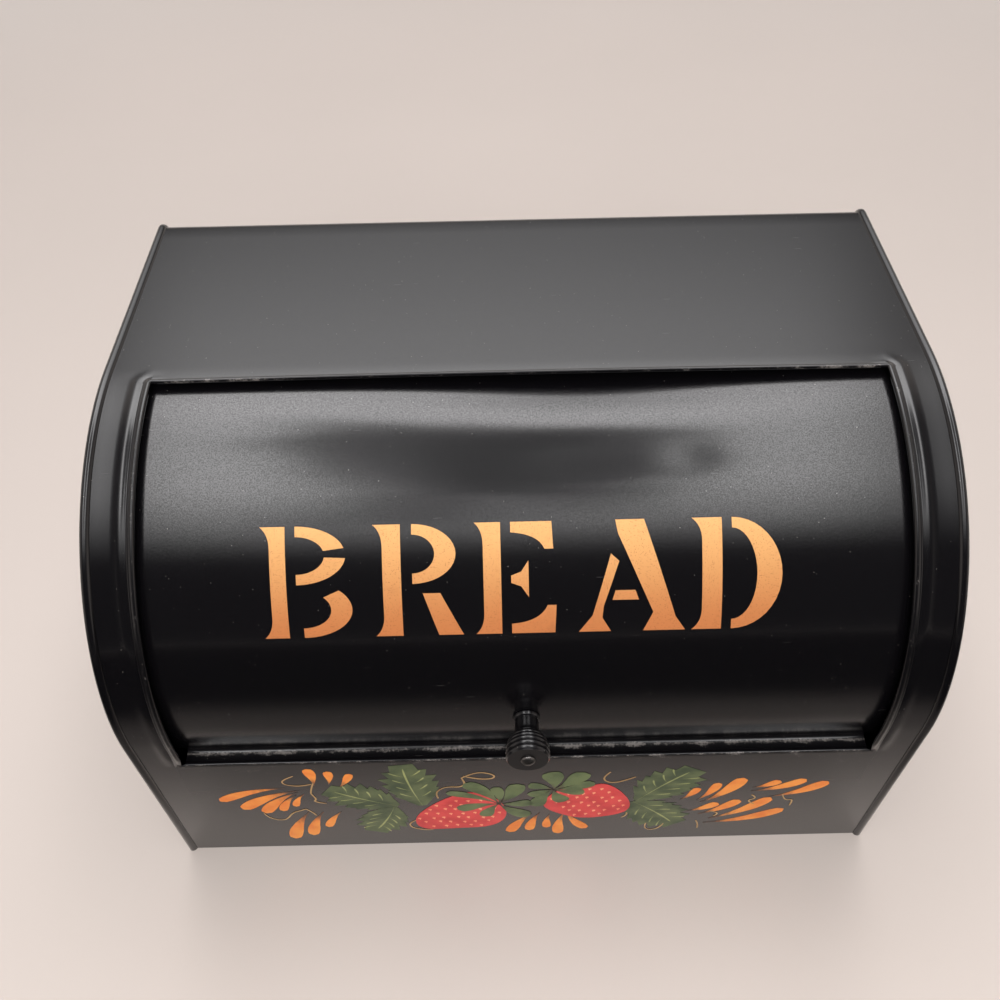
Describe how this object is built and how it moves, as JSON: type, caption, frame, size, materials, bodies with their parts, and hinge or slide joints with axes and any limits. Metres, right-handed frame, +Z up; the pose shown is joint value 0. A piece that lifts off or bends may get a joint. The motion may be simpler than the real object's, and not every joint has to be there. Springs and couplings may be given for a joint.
{
  "type": "roll-top bread box",
  "caption": "Sheet steel bread box with a round front opening closed by a curved door that turns up and back on side pivots.",
  "frame": {"origin": "on the table, midway between the ends and midway between the front of the curve and the back", "axes": "+X to the right end, +Y to the back, +Z up; the door's opening faces -Y and up"},
  "size_m": [0.35, 0.245, 0.235],
  "materials": {
    "black_enamel": "gloss black enamel on thin steel sheet, dusty and scratched",
    "painted_wood": "turned wood with gloss black paint",
    "zinc_steel": "dull zinc-plated steel",
    "dark_steel": "blackened steel, bright where the slot is worn"
  },
  "bodies": {
    "box": {"body_wrapper": "black_enamel", "back_panel": "black_enamel", "bottom_tray": "black_enamel", "right_end_panel": "black_enamel", "left_end_panel": "black_enamel", "right_pivot_rivet": "zinc_steel", "left_pivot_rivet": "zinc_steel", "right_spacer_washer": "zinc_steel", "left_spacer_washer": "zinc_steel", "right_burr_washer": "zinc_steel", "left_burr_washer": "zinc_steel"},
    "door": {"door_sheet": "black_enamel", "right_door_wing": "black_enamel", "left_door_wing": "black_enamel", "door_knob": "painted_wood", "knob_screw": "dark_steel", "knob_washer": "zinc_steel", "knob_nut": "zinc_steel"}
  },
  "joints": [
    {"name": "door_hinge", "type": "hinge", "parent": "box", "child": "door", "pos_m": [0, 0, 0.1205], "axis": [-1, 0, 0], "range_deg": [0, 80]}
  ]
}
